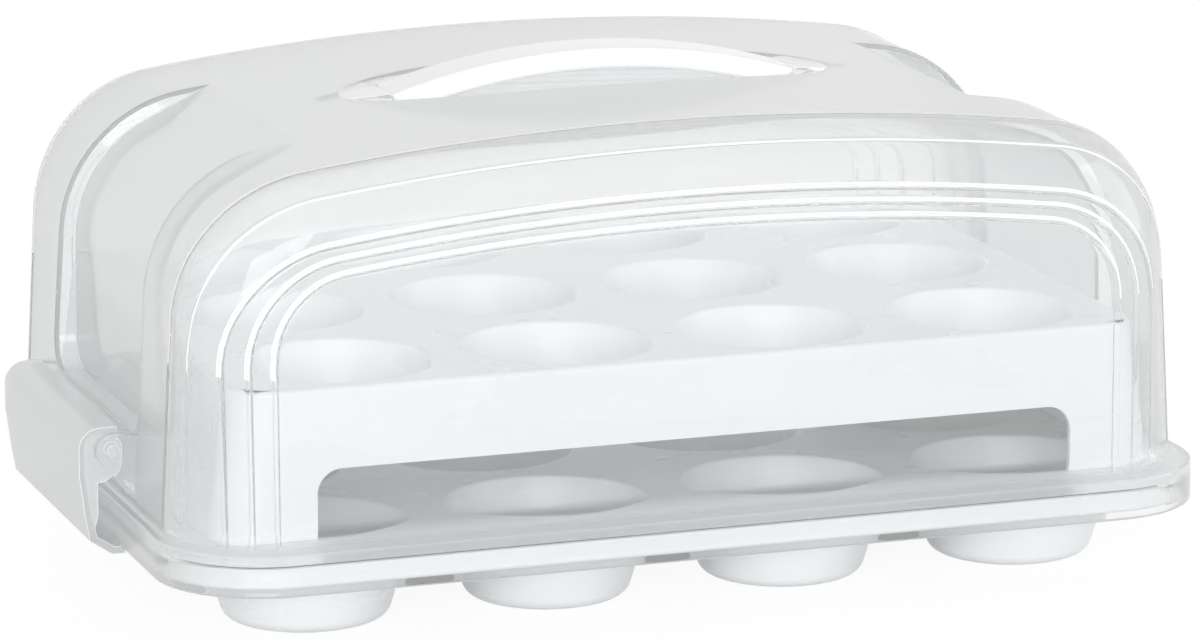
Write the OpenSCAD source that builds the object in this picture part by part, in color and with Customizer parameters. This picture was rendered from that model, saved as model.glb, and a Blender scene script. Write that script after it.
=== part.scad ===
// Two-tier cupcake carrier: base tray, upper tray, clear lift-off dome with a
// carrying handle, and a hinged clip on each short end. Millimetres, +Z up.
// Origin: centre of the footprint, on the flat bottoms of the lower cups.

/* [Cup layout] */
// Number of cups along the length
cols = 4; // [4:1:5]
// Number of cups across the depth
rows = 3; // [3:1:4]
// Spacing of the lower cups along the length
low_pitch = 80; // [78:0.5:88]
// Spacing of the upper cups along the length
top_pitch = 72.7; // [70:0.1:76]
// Spacing of both sets of cups across the depth
row_pitch = 75.5; // [74:0.5:82]
// Rim radius of a lower cup
low_cup_r = 32.8; // [30:0.1:33.5]
// Floor radius of a lower cup, outside
low_floor_r = 26; // [22:0.5:27]
// Rim radius of an upper cup
top_cup_r = 31; // [28:0.1:32]
// Floor radius of an upper cup, outside
top_floor_r = 27.5; // [24:0.5:28]
// Depth of an upper cup
top_cup_depth = 17; // [12:0.5:20]
// Rounding where a cup's side meets its floor
cup_fillet = 5; // [3:0.5:7]

/* [Base tray] */
// Height of the tray's top above the bottoms of its cups
tray_z = 29.8; // [27:0.1:34]
// Thickness of the tray's plate, rim and cups
tray_t = 2.2; // [1.6:0.1:2.6]
// Height of the turned-down rim
rim_h = 7; // [6:0.5:9]
// Tray beyond the last cup, along the length
end_margin = 18.3; // [17:0.1:24]
// Tray beyond the last cup, across the depth
side_margin = 17.9; // [17:0.1:24]
// Corner radius of the tray in plan
tray_r = 33.5; // [28:0.5:38]

/* [Upper tray] */
// Height of the upper tray above the base tray
tier_h = 51.4; // [49:0.1:56]
// Thickness of the upper tray
tier_t = 2; // [1.6:0.1:2.4]
// Foot of the end walls beyond the last lower cup
tier_end = 5.2; // [4.5:0.1:6.5]
// Gap between the front wall's inside and the lower cups
tier_side_gap = 0.3; // [0.2:0.1:0.8]
// How far each end wall leans in on its way up
tier_lean = 7; // [4:0.5:9]
// Corner radius of the upper tray in plan
tier_r = 14; // [13:0.5:18]
// Length of the window in the front and back walls
window_w = 252; // [200:1:262]
// Height of the window
window_h = 25.7; // [18:0.1:28]
// Radius of the window's upper corners
window_r = 8; // [4:0.5:11]

/* [Dome] */
// Height of the crown above the base tray
dome_h = 124.5; // [118:0.5:140]
// Thickness of the clear wall
wall = 1.8; // [1.4:0.1:2.2]
// Gap between the upper tray and the dome's front wall
dome_gap = 0.6; // [0.5:0.1:2]
// Foot of the end wall in from the tray's edge
foot_inset = 1.7; // [1.2:0.1:2.2]
// Slope of the end walls, in degrees
draft = 3.4; // [2:0.1:4.5]
// Radius of the long arch over the top
crown_r = 900; // [800:10:1400]
// Radius of the two shoulders
shoulder_r = 48; // [42:0.5:54]
// Rounding of the front and back edges
edge_r = 24; // [23:0.5:27]
// Thickness of the flange's flat web
web_t = 3.9; // [3:0.1:4.5]
// Thickness of the flange's skirt
skirt_t = 2; // [1.4:0.1:2.6]
// Gap between the skirt and the tray's rim
skirt_gap = 0.5; // [0.4:0.1:1]
// How far the skirt reaches below the rim
skirt_drop = 2.4; // [1:0.1:4]

/* [Arched steps] */
// Number of raised steps on the front and back
steps = 3; // [1:1:3]
// Height of one step
step_t = 1.2; // [0.6:0.1:1.4]
// Top of the outer arch below the crown
arch_drop = 19.3; // [15:0.1:26]
// Fall from one arch to the next
arch_fall = 4.5; // [3:0.1:6]
// Side of the outer arch in from the dome's foot
arch_side = 13.4; // [10:0.1:20]
// Inward shift of each next arch
arch_shift = 7.5; // [5:0.5:10]
// Corner radius of the outer arch
arch_r = 40; // [32:0.5:46]
// Difference of corner radius from one arch to the next
arch_r_step = 6; // [3:0.5:8]

/* [End scoops] */
// Length of a scoop across the end
scoop_w = 110; // [104:1:130]
// Height of the scoop's ledge above the flange
ledge_h = 22.3; // [21:0.1:26]
// Depth of the scoop over the shoulder
scoop_d = 5.5; // [3.5:0.1:7]
// Slope of the facet above the scoop, in degrees
facet_slope = 26; // [20:1:32]
// Radius of the scoop's lower corners
scoop_r = 12; // [6:0.5:20]

/* [Handle] */
// Length of the handle between its upper end edges
handle_l = 138.8; // [120:0.2:150]
// Width of the handle
handle_w = 20; // [16:0.5:26]
// Thickness of the handle
handle_t = 7.1; // [5:0.1:9]
// Radius of the handle's upper face
handle_r = 226; // [200:1:300]
// Height of the handle's top above the crown
handle_rise = 8.1; // [6:0.1:14]
// Slant of the handle's ends, in degrees
handle_slant = 38; // [30:1:45]
// Edge rounding of the handle
handle_edge = 1.2; // [0.5:0.1:2]
// Length of the tongue at each end of the handle
tongue_l = 8; // [6:0.5:10]
// Width of the tongue
tongue_w = 12; // [8:0.5:14]
// Thickness of the tongue
tongue_t = 3; // [2:0.1:3.4]
// Slack of the tongue in its socket
tongue_slack = 0.1; // [0.05:0.05:0.3]
// Width of the lug that holds the tongue
lug_w = 23; // [20:0.5:28]
// Length of the lug
lug_l = 22; // [18:0.5:26]
// Depth of the finger pocket under the handle, below the crown
pocket_d = 16.3; // [12:0.1:18]
// Radius of the pocket along its length
pocket_long_r = 293; // [260:1:330]
// Radius of the pocket across its width
pocket_cross_r = 37; // [32:0.5:46]

/* [Clips] */
// Length of a clip across the end
clip_w = 99; // [90:0.5:102]
// Outer face of a clip beyond the skirt
clip_out = 12.4; // [11:0.1:14]
// Thickness of a clip's plate
clip_t = 2.4; // [2:0.1:3]
// Slant of a clip's lower edge, in from its outer face
foot_d = 3; // [2:0.1:4]
// Height of that slant above the nose
foot_h = 2.4; // [1.5:0.1:4]
// Height of the hinge axis above the flange
pivot_h = 18.8; // [17.8:0.1:20.8]
// Distance of the hinge axis from the skirt's outer face
pivot_out = 2.4; // [2:0.1:3]
// Radius of the hinge pegs
peg_r = 2; // [1.6:0.1:2.4]
// Running clearance of a peg in its bore, on the radius
peg_gap = 0.05; // [0.02:0.01:0.09]
// Length of a hinge peg
peg_l = 5; // [4:0.5:7]
// Radius of the clip's boss round the peg
boss_r = 3.6; // [3.4:0.1:4.6]
// Reach of the clip's ear from its cheek towards the dome
ear_d = 7.6; // [7:0.1:8]
// Half the height of the ear
ear_h = 8.4; // [7.5:0.1:8.6]
// Radius of the dome's hinge lug round the peg
lug_r = 5.6; // [4.2:0.1:6]
// Gap between a clip's cheek and the hinge lug
cheek_gap = 0.5; // [0.4:0.1:1]
// Thickness of a hinge lug
hinge_t = 5.5; // [4:0.5:7]
// Thickness of a clip's cheek
cheek_t = 2.5; // [2:0.1:3.5]
// Height of the clip's top above the hinge axis
clip_top = 6.6; // [5.6:0.1:6.8]
// Reach of the clip's top from the hinge axis towards the dome
top_reach = 2.4; // [1:0.1:2.6]
// Rounding of the clip's top outer edge
top_r = 7; // [4:0.5:8]
// How far the clip's outer face leans in towards its foot
clip_lean = 1.6; // [0.5:0.1:2.5]
// Depth of a clip's side cheek behind its outer face
cheek_d = 6; // [5:0.5:7]
// Gap between the clip's nose and the skirt's lower edge
nose_gap = 0.3; // [0.2:0.1:0.8]
// Gap between the nose's tip and the tray's rim, in plan
nose_clear = 0.4; // [0.3:0.1:0.8]

/* [Hidden] */
$fn = 96;
LONG_FN = 720; // for arcs of large radius
EPS = 0.01;
FAR = 400; // longer than the carrier
fillet_steps = 5; // facets of a cup's rounding
arc_steps = 12; // facets of each shoulder and of each half of the crown
edge_steps = 8; // facets of the dome's rounded front and back edges
corner_steps = 6; // facets of a clip's rounded top edge

// Base tray
tray_x = (cols - 1) / 2 * low_pitch + low_cup_r + end_margin;
tray_y = (rows - 1) / 2 * row_pitch + low_cup_r + side_margin;

// Upper tray
tier_x = (cols - 1) / 2 * low_pitch + low_cup_r + tier_end;
tier_y = (rows - 1) / 2 * row_pitch + low_cup_r + tier_side_gap + tier_t;
tier_z = tray_z + tier_h;

// Dome flange
web_z = tray_z + web_t;
skirt_z = tray_z - rim_h - skirt_drop;
skirt_x = tray_x + skirt_gap + skirt_t;
skirt_y = tray_y + skirt_gap + skirt_t;
skirt_r = tray_r + skirt_gap + skirt_t;

// Dome section along its length: one crown arc between two shoulder arcs, on sloping walls
dome_y = tier_y + dome_gap + wall;
foot_x = tray_x - foot_inset;
crown_z = tray_z + dome_h;
crown_cz = crown_z - crown_r;
centre_gap = crown_r - shoulder_r;
slope = tan(draft);
line_x = foot_x - shoulder_r / cos(draft) + web_z * slope;
half_b = line_x * slope + crown_cz;
full_c = line_x * line_x + crown_cz * crown_cz - centre_gap * centre_gap;
shoulder_z = (half_b + sqrt(half_b * half_b - (1 + slope * slope) * full_c)) / (1 + slope * slope);
shoulder_x = line_x - slope * shoulder_z;
crown_a = asin(shoulder_x / centre_gap);

// Scoop
ledge_z = web_z + ledge_h;
scoop_arc_r = shoulder_r - scoop_d;
scoop_x = shoulder_x + scoop_arc_r;
facet_l = 60; // runs out through the crown

// Handle
handle_z = crown_z + handle_rise;
handle_cz = handle_z - handle_r;
end_x = handle_l / 2;
end_z = handle_cz + sqrt(handle_r * handle_r - end_x * end_x);
tongue_z = end_z - handle_t / 2;
pocket_z = crown_z - pocket_d;
lug_top = end_z + 0.5;
lug_foot = 3; // height of a hinge lug's root above the flange
lug_depth = 12; // of a lug below the handle's end
lug_flat = 4; // level part of a lug's top, beyond the handle
root_l = 6; // of a tongue, inside the handle
lug_flank = 25; // degrees below level where a hinge lug's flank meets its round end

// Clips
clip_x = skirt_x + clip_out;
pivot_x = skirt_x + pivot_out;
pivot_z = web_z + pivot_h;
cheek_y = clip_w / 2;
lug_y = cheek_y + cheek_gap;
nose_x = tray_x + nose_clear;
nose_z = skirt_z - nose_gap;
top_z = pivot_z + clip_top;
bow_z = pivot_z - 9; // below here the outer face leans in
ear_z = pivot_z - 3; // middle of the ear
heel_z = tray_z + 1; // below here the plate turns in towards the nose
heel_x = clip_x - clip_lean;
knee_x = clip_x - foot_d;
knee_z = nose_z + foot_h;

// Points of an arc round (x, z), from angle a0 to a1
function arc_points(x, z, r, a0, a1, n) =
    [for (i = [0 : n]) let (a = a0 + (a1 - a0) * i / n) [x + r * cos(a), z + r * sin(a)]];

// The same outline continued on the other side of the middle
function mirrored(points) = [for (i = [len(points) - 1 : -1 : 0]) [-points[i][0], points[i][1]]];

module rounded(x, y, r) {
    square([2 * x, 2 * (y - r)], center = true);
    square([2 * (x - r), 2 * y], center = true);
    for (sx = [-1, 1])
        for (sy = [-1, 1])
            translate([sx * (x - r), sy * (y - r)])
                circle(r);
}

module slab(x, y, r, z0, z1) {
    translate([0, 0, z0])
        linear_extrude(z1 - z0)
            rounded(x, y, r);
}

// A shape drawn in X and Z, swept along Y between two places
module sweep_y(y0, y1) {
    translate([0, y1, 0])
        rotate([90, 0, 0])
            linear_extrude(y1 - y0)
                children();
}

module both_ends() {
    children();
    mirror([1, 0, 0])
        children();
}

// Cups ---------------------------------------------------------------------

// Wall of one cup, its rim at z = 0
module cup(rim_r, floor_r, depth, t) {
    side_a = atan2(depth, rim_r + t - floor_r);
    bend_x = floor_r - cup_fillet * tan(side_a / 2);
    bend_z = cup_fillet - depth;
    outside = arc_points(bend_x, bend_z, cup_fillet, -90, side_a - 90, fillet_steps);
    inside = arc_points(bend_x, bend_z, cup_fillet - t, side_a - 90, -90, fillet_steps);
    rotate_extrude()
        polygon(concat([[0, -depth]], outside,
                       [[rim_r + t, 0], [rim_r + t - t / sin(side_a), 0]],
                       inside, [[0, t - depth]]));
}

module cup_grid(pitch) {
    for (i = [0 : cols - 1])
        for (j = [0 : rows - 1])
            translate([(i - (cols - 1) / 2) * pitch, (j - (rows - 1) / 2) * row_pitch, 0])
                children();
}

module base_tray() {
    color([0.93, 0.95, 0.95]) {
        difference() {
            slab(tray_x, tray_y, tray_r, tray_z - rim_h, tray_z);
            slab(tray_x - tray_t, tray_y - tray_t, tray_r - tray_t, tray_z - rim_h - EPS, tray_z - tray_t);
            translate([0, 0, tray_z - tray_t - 1])
                cup_grid(low_pitch)
                    cylinder(r = low_cup_r + tray_t / 2, h = tray_t + 2);
        }
        translate([0, 0, tray_z])
            cup_grid(low_pitch)
                cup(low_cup_r, low_floor_r, tray_z, tray_t);
    }
}

// Upper tray ---------------------------------------------------------------

// Solid outline of the upper tray, set in by t
module tier_block(t, z1) {
    intersection() {
        slab(tier_x - t, tier_y - t, tier_r - t, tray_z - (t > 0 ? 1 : 0), z1);
        sweep_y(-tier_y, tier_y)
            polygon([[tier_x - t + tier_lean / tier_h, tray_z - 1], [tier_x - t - tier_lean, tier_z],
                     [t + tier_lean - tier_x, tier_z], [t - tier_lean / tier_h - tier_x, tray_z - 1]]);
    }
}

module window() {
    translate([0, tray_z - 1])
        square([window_w, 2 * (window_h + 1 - window_r)], center = true);
    translate([0, tray_z + window_h - window_r / 2])
        square([window_w - 2 * window_r, window_r], center = true);
    for (s = [-1, 1])
        translate([s * (window_w / 2 - window_r), tray_z + window_h - window_r])
            circle(window_r);
}

module upper_tray() {
    color([0.95, 0.96, 0.96]) {
        difference() {
            tier_block(0, tier_z);
            tier_block(tier_t, tier_z - tier_t);
            sweep_y(-tier_y - 1, tier_y + 1)
                window();
            translate([0, 0, tier_z - tier_t - 1])
                cup_grid(top_pitch)
                    cylinder(r = top_cup_r + tier_t / 2, h = tier_t + 2);
        }
        translate([0, 0, tier_z])
            cup_grid(top_pitch)
                cup(top_cup_r, top_floor_r, top_cup_depth, tier_t);
    }
}

// Dome ---------------------------------------------------------------------

// The dome's outline in X and Z, set in by t and cut off at height z0
module dome_outline(t, z0) {
    foot = foot_x - slope * (z0 - web_z) - t / cos(draft);
    shoulder = arc_points(shoulder_x, shoulder_z, shoulder_r - t, draft, 90 - crown_a, arc_steps);
    crown = arc_points(0, crown_cz, crown_r - t, 90 - crown_a, 90 + crown_a, 2 * arc_steps);
    polygon(concat([[foot, z0]], shoulder, crown, mirrored(shoulder), [[-foot, z0]]));
}

// Solid dome with rounded front and back edges, set in by g
module dome_body(g, z0) {
    hull()
        for (i = [0 : edge_steps]) {
            a = 90 * i / edge_steps;
            y = dome_y - g - edge_r * (1 - sin(a));
            sweep_y(-y, y)
                dome_outline(g + edge_r * (1 - cos(a)), z0);
        }
}

// Arch in X and Z, on z = 0: upright sides, and round shoulders under a crown arc
module arch(half, top, r) {
    crown_c = top - crown_r;
    x = half - r;
    a = asin(x / (crown_r - r));
    z = crown_c + (crown_r - r) * cos(a);
    shoulder = arc_points(x, z, r, 0, 90 - a, arc_steps);
    crown = arc_points(0, crown_c, crown_r, 90 - a, 90 + a, 2 * arc_steps);
    polygon(concat([[half, 0]], shoulder, crown, mirrored(shoulder), [[-half, 0]]));
}

// Step i of the arches on the front and back, its outline set in by t and its face at depth y
module arch_step(i, y, t, z0) {
    translate([0, 0, z0])
        sweep_y(-y, y)
            arch(foot_x - arch_side - i * arch_shift - t,
                 crown_z - arch_drop - i * arch_fall - t - z0,
                 arch_r - i * arch_r_step - t);
}

// The space of a scoop in X and Z, grown by t: above a ledge, outside an upright wall, an arc
// round the shoulder's centre and a straight facet up to the crown
module scoop_profile(t) {
    r = scoop_arc_r - t;
    arc = arc_points(shoulder_x, shoulder_z, r, 0, 90 - facet_slope, arc_steps);
    facet_end = arc[arc_steps] + facet_l * [-cos(facet_slope), sin(facet_slope)];
    polygon(concat([[FAR, ledge_z - t], [shoulder_x + r, ledge_z - t]], arc,
                   [facet_end, [facet_end[0], FAR], [FAR, FAR]]));
}

// Space cut away for the scoops, with the wall's thickness t left behind it
module scoops(t) {
    both_ends()
        intersection() {
            sweep_y(-scoop_w, scoop_w)
                scoop_profile(t);
            rotate([90, 0, 90])
                linear_extrude(FAR) {
                    translate([-scoop_w / 2 - t, ledge_z + scoop_r])
                        square([scoop_w + 2 * t, FAR]);
                    translate([-scoop_w / 2 + scoop_r, ledge_z - t - 1])
                        square([scoop_w - 2 * scoop_r, FAR]);
                    for (s = [-1, 1])
                        translate([s * (scoop_w / 2 - scoop_r), ledge_z + scoop_r])
                            circle(scoop_r + t);
                }
        }
}

// Finger pocket: the underside of a large ring lying along X
module pocket(t) {
    translate([0, 0, pocket_z + pocket_long_r])
        rotate([90, 0, 0])
            rotate_extrude($fn = LONG_FN)
                translate([pocket_long_r - pocket_cross_r, 0])
                    circle(pocket_cross_r + t);
}

// Wedge that holds a tongue of the handle, rooted in the pocket's end
module handle_lug() {
    sweep_y(-lug_w / 2, lug_w / 2)
        polygon([[end_x - lug_depth * tan(handle_slant), end_z - lug_depth],
                 [end_x + (lug_top - end_z) * tan(handle_slant), lug_top],
                 [end_x + lug_flat, lug_top],
                 [end_x + lug_l, tongue_z],
                 [end_x + lug_l, end_z - lug_depth]]);
}

module tongue_bar(slack) {
    translate([end_x - root_l, -tongue_w / 2 - slack, tongue_z - tongue_t / 2 - slack])
        cube([root_l + tongue_l + slack, tongue_w + 2 * slack, tongue_t + 2 * slack]);
}

// Lug that carries a clip's peg, grown out of the dome's end wall
module hinge_lug(side) {
    y0 = side > 0 ? lug_y : -lug_y - hinge_t;
    root_x = foot_x - slope * ledge_h - wall / 2;
    sweep_y(y0, y0 + hinge_t) {
        translate([pivot_x, pivot_z])
            circle(lug_r);
        polygon([[root_x, web_z + lug_foot], [foot_x + wall / 2, web_z + lug_foot],
                 [pivot_x + lug_r * cos(lug_flank), pivot_z - lug_r * sin(lug_flank)],
                 [pivot_x, pivot_z + lug_r], [root_x, pivot_z + lug_r - 1]]);
    }
}

module dome_lid() {
    color([0.85, 0.88, 0.90, 0.45])
        difference() {
            union() {
                difference() {
                    union() {
                        dome_body(0, tray_z);
                        for (i = [0 : steps - 1])
                            arch_step(i, dome_y + (i + 1) * step_t, 0, tray_z);
                    }
                    scoops(0);
                    pocket(0);
                }
                slab(skirt_x, skirt_y, skirt_r, tray_z, web_z);
                difference() {
                    slab(skirt_x, skirt_y, skirt_r, skirt_z, tray_z + EPS);
                    slab(skirt_x - skirt_t, skirt_y - skirt_t, skirt_r - skirt_t, skirt_z - 1, tray_z + 1);
                }
                both_ends() {
                    handle_lug();
                    for (side = [-1, 1])
                        hinge_lug(side);
                }
            }
            difference() {
                union() {
                    dome_body(wall, tray_z - 1);
                    for (i = [0 : steps - 1])
                        arch_step(i, dome_y + (i + 1) * step_t - wall, wall, tray_z - 1);
                }
                scoops(wall);
                pocket(wall);
            }
            both_ends() {
                tongue_bar(tongue_slack);
                for (s = [-1, 1])
                    translate([pivot_x, s * (lug_y + hinge_t / 2), pivot_z])
                        rotate([90, 0, 0])
                            cylinder(r = peg_r + peg_gap, h = hinge_t + 2, center = true);
            }
        }
}

// Handle -------------------------------------------------------------------

module handle() {
    reach = asin(end_x / handle_r) + 6; // runs past the slanted ends
    color([0.96, 0.97, 0.97]) {
        difference() {
            translate([0, 0, handle_cz])
                rotate([90, 0, 0])
                    rotate([0, 0, 90 - reach])
                        rotate_extrude(angle = 2 * reach, $fn = LONG_FN)
                            translate([handle_r - handle_t / 2, 0])
                                rounded(handle_t / 2, handle_w / 2, handle_edge);
            both_ends()
                translate([end_x, 0, end_z])
                    rotate([0, handle_slant, 0])
                        translate([0, -handle_w, -handle_r / 2])
                            cube([handle_r / 2, 2 * handle_w, handle_r]);
        }
        both_ends()
            tongue_bar(0);
    }
}

// Clips --------------------------------------------------------------------

// Section of the plate: a short top, a rounded edge, the outer face and the nose under the rim
module clip_plate() {
    round_x = clip_x - top_r;
    round_z = top_z - top_r;
    outer = arc_points(round_x, round_z, top_r, 0, 90, corner_steps);
    inner = arc_points(round_x, round_z, top_r - clip_t, 90, 0, corner_steps);
    polygon(concat(
        [[nose_x, nose_z - clip_t], [pivot_x, nose_z - clip_t], [knee_x, knee_z], [heel_x, heel_z],
         [clip_x, bow_z]],
        outer,
        [[pivot_x - top_reach, top_z], [pivot_x - top_reach, top_z - clip_t]],
        inner,
        [[clip_x - clip_t, bow_z], [heel_x - clip_t, heel_z], [knee_x - clip_t, knee_z + clip_t / 2],
         [pivot_x - clip_t / 2, nose_z], [nose_x, nose_z]]));
}

// Side cheek: closes the clip's end, just inside the plate's faces, with a rounded ear that carries the peg
module clip_cheek() {
    inset = clip_t / 4;
    ear_x = clip_x - cheek_d;
    outer = arc_points(clip_x - top_r, top_z - top_r, top_r - inset, 0, 90, corner_steps);
    polygon(concat(
        [[knee_x - clip_t / 2, knee_z + clip_t / 2], [heel_x - inset, heel_z], [clip_x - inset, bow_z]],
        outer,
        [[pivot_x - top_reach + inset, top_z - inset], [pivot_x - top_reach + inset, pivot_z],
         [ear_x, pivot_z], [ear_x, heel_z]]));
    intersection() {
        translate([ear_x, ear_z])
            scale([ear_d / ear_h, 1])
                circle(ear_h);
        translate([ear_x - ear_d, ear_z - ear_h])
            square([ear_d + EPS, 2 * ear_h]);
    }
    translate([pivot_x, pivot_z])
        circle(boss_r);
}

module clip_shape() {
    sweep_y(-cheek_y, cheek_y)
        clip_plate();
    for (s = [-1, 1]) {
        y0 = s > 0 ? cheek_y - cheek_t : -cheek_y;
        sweep_y(y0, y0 + cheek_t)
            clip_cheek();
        translate([pivot_x, s * (cheek_y - cheek_t / 2), pivot_z])
            rotate([-s * 90, 0, 0])
                cylinder(r = peg_r, h = peg_l + cheek_t / 2);
    }
}

module clip_right() {
    color([0.88, 0.90, 0.92, 0.7])
        clip_shape();
}

module clip_left() {
    color([0.88, 0.90, 0.92, 0.7])
        mirror([1, 0, 0])
            clip_shape();
}

base_tray();
upper_tray();
dome_lid();
handle();
clip_left();
clip_right();
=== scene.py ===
import math

import bmesh
import bpy
import numpy as np
from mathutils import Matrix, Vector


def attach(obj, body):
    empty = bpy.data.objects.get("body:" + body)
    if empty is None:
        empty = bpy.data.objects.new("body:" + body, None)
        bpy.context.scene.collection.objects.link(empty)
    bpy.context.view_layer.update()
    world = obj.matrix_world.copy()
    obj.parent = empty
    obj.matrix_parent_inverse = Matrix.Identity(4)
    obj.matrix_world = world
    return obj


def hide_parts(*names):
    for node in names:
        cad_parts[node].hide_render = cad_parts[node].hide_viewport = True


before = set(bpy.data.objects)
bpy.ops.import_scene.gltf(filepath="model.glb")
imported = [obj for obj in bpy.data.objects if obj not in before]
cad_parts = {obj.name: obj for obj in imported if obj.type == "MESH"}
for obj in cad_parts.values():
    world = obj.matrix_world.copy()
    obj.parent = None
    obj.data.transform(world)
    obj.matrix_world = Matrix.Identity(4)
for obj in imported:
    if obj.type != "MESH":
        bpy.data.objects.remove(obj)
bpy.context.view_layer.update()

MM = 0.001


# Camera --------------------------------------------------------------------


def make_camera():
    focal_px, image_w = 6020.5, 1200
    data = bpy.data.cameras.new("camera")
    data.sensor_width = 36.0
    data.lens = focal_px / image_w * data.sensor_width
    data.clip_start, data.clip_end = 0.05, 60.0
    cam = bpy.data.objects.new("camera", data)
    yaw, pitch, roll = math.radians(19.0), math.radians(12.8), math.radians(-0.2)
    forward = Vector(
        (
            math.sin(yaw) * math.cos(pitch),
            math.cos(yaw) * math.cos(pitch),
            -math.sin(pitch),
        )
    )
    right = Vector((math.cos(yaw), -math.sin(yaw), 0.0))
    up = right.cross(forward)
    turned_right = math.cos(roll) * right + math.sin(roll) * up
    turned_up = -math.sin(roll) * right + math.cos(roll) * up
    turn = Matrix((turned_right, turned_up, -forward)).transposed()
    cam.matrix_world = Matrix.Translation((-0.6289, -1.8397, 0.5110)) @ turn.to_4x4()
    bpy.context.scene.collection.objects.link(cam)
    bpy.context.scene.camera = cam
    return cam


# Studio --------------------------------------------------------------------


WORLD_LIGHT = 0.66
FLOOR_GLOW = 1.03
FLOOR_SHARE = 0.9  # of the white that the camera sees, the rest takes the shadow


def area_light(name, place, target, size, power, size_y=None):
    data = bpy.data.lights.new(name, "AREA")
    data.energy = power
    data.shape = "RECTANGLE"
    data.size = size
    data.size_y = size_y or size
    lamp = bpy.data.objects.new(name, data)
    lamp.location = place
    lamp.rotation_euler = (
        (Vector(target) - Vector(place)).to_track_quat("-Z", "Y").to_euler()
    )
    bpy.context.scene.collection.objects.link(lamp)
    return lamp


def seen_directly(nodes, links):
    """1 for a ray that comes straight from the camera, or by way of a mirror or glass."""
    path = nodes.new("ShaderNodeLightPath")
    either = nodes.new("ShaderNodeMath")
    either.operation = "MAXIMUM"
    any_of = nodes.new("ShaderNodeMath")
    any_of.operation = "MAXIMUM"
    links.new(path.outputs["Is Camera Ray"], either.inputs[0])
    links.new(path.outputs["Is Glossy Ray"], either.inputs[1])
    links.new(either.outputs[0], any_of.inputs[0])
    links.new(path.outputs["Is Transmission Ray"], any_of.inputs[1])
    return any_of.outputs[0]


def make_world():
    world = bpy.data.worlds.new("studio")
    bpy.context.scene.world = world
    world.use_nodes = True
    nodes, links = world.node_tree.nodes, world.node_tree.links
    nodes.clear()
    out = nodes.new("ShaderNodeOutputWorld")
    mix = nodes.new("ShaderNodeMixShader")
    light = nodes.new("ShaderNodeBackground")
    seen = nodes.new("ShaderNodeBackground")
    light.inputs["Color"].default_value = (1.0, 1.0, 1.0, 1.0)
    light.inputs["Strength"].default_value = WORLD_LIGHT
    seen.inputs["Color"].default_value = (1.0, 1.0, 1.0, 1.0)
    seen.inputs["Strength"].default_value = 1.0
    links.new(seen_directly(nodes, links), mix.inputs["Fac"])
    links.new(light.outputs[0], mix.inputs[1])
    links.new(seen.outputs[0], mix.inputs[2])
    links.new(mix.outputs[0], out.inputs["Surface"])


def make_floor():
    mesh = bpy.data.meshes.new("floor")
    half = 6.0
    mesh.from_pydata(
        [(-half, -half, 0), (half, -half, 0), (half, half, 0), (-half, half, 0)],
        [],
        [(0, 1, 2, 3)],
    )
    floor = bpy.data.objects.new("floor", mesh)
    bpy.context.scene.collection.objects.link(floor)
    mat = bpy.data.materials.new("floor_white")
    mat.use_nodes = True
    nodes, links = mat.node_tree.nodes, mat.node_tree.links
    nodes.clear()
    out = nodes.new("ShaderNodeOutputMaterial")
    base = nodes.new("ShaderNodeBsdfDiffuse")
    base.inputs["Color"].default_value = (0.8, 0.8, 0.8, 1.0)
    glow = nodes.new("ShaderNodeEmission")
    glow.inputs["Color"].default_value = (1.0, 1.0, 1.0, 1.0)
    glow.inputs["Strength"].default_value = FLOOR_GLOW
    mix = nodes.new("ShaderNodeMixShader")
    share = nodes.new("ShaderNodeMath")
    share.operation = "MULTIPLY"
    share.inputs[1].default_value = FLOOR_SHARE
    links.new(seen_directly(nodes, links), share.inputs[0])
    links.new(share.outputs[0], mix.inputs["Fac"])
    links.new(base.outputs[0], mix.inputs[1])
    links.new(glow.outputs[0], mix.inputs[2])
    links.new(mix.outputs[0], out.inputs["Surface"])
    mesh.materials.append(mat)
    return floor


# Materials -----------------------------------------------------------------


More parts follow.
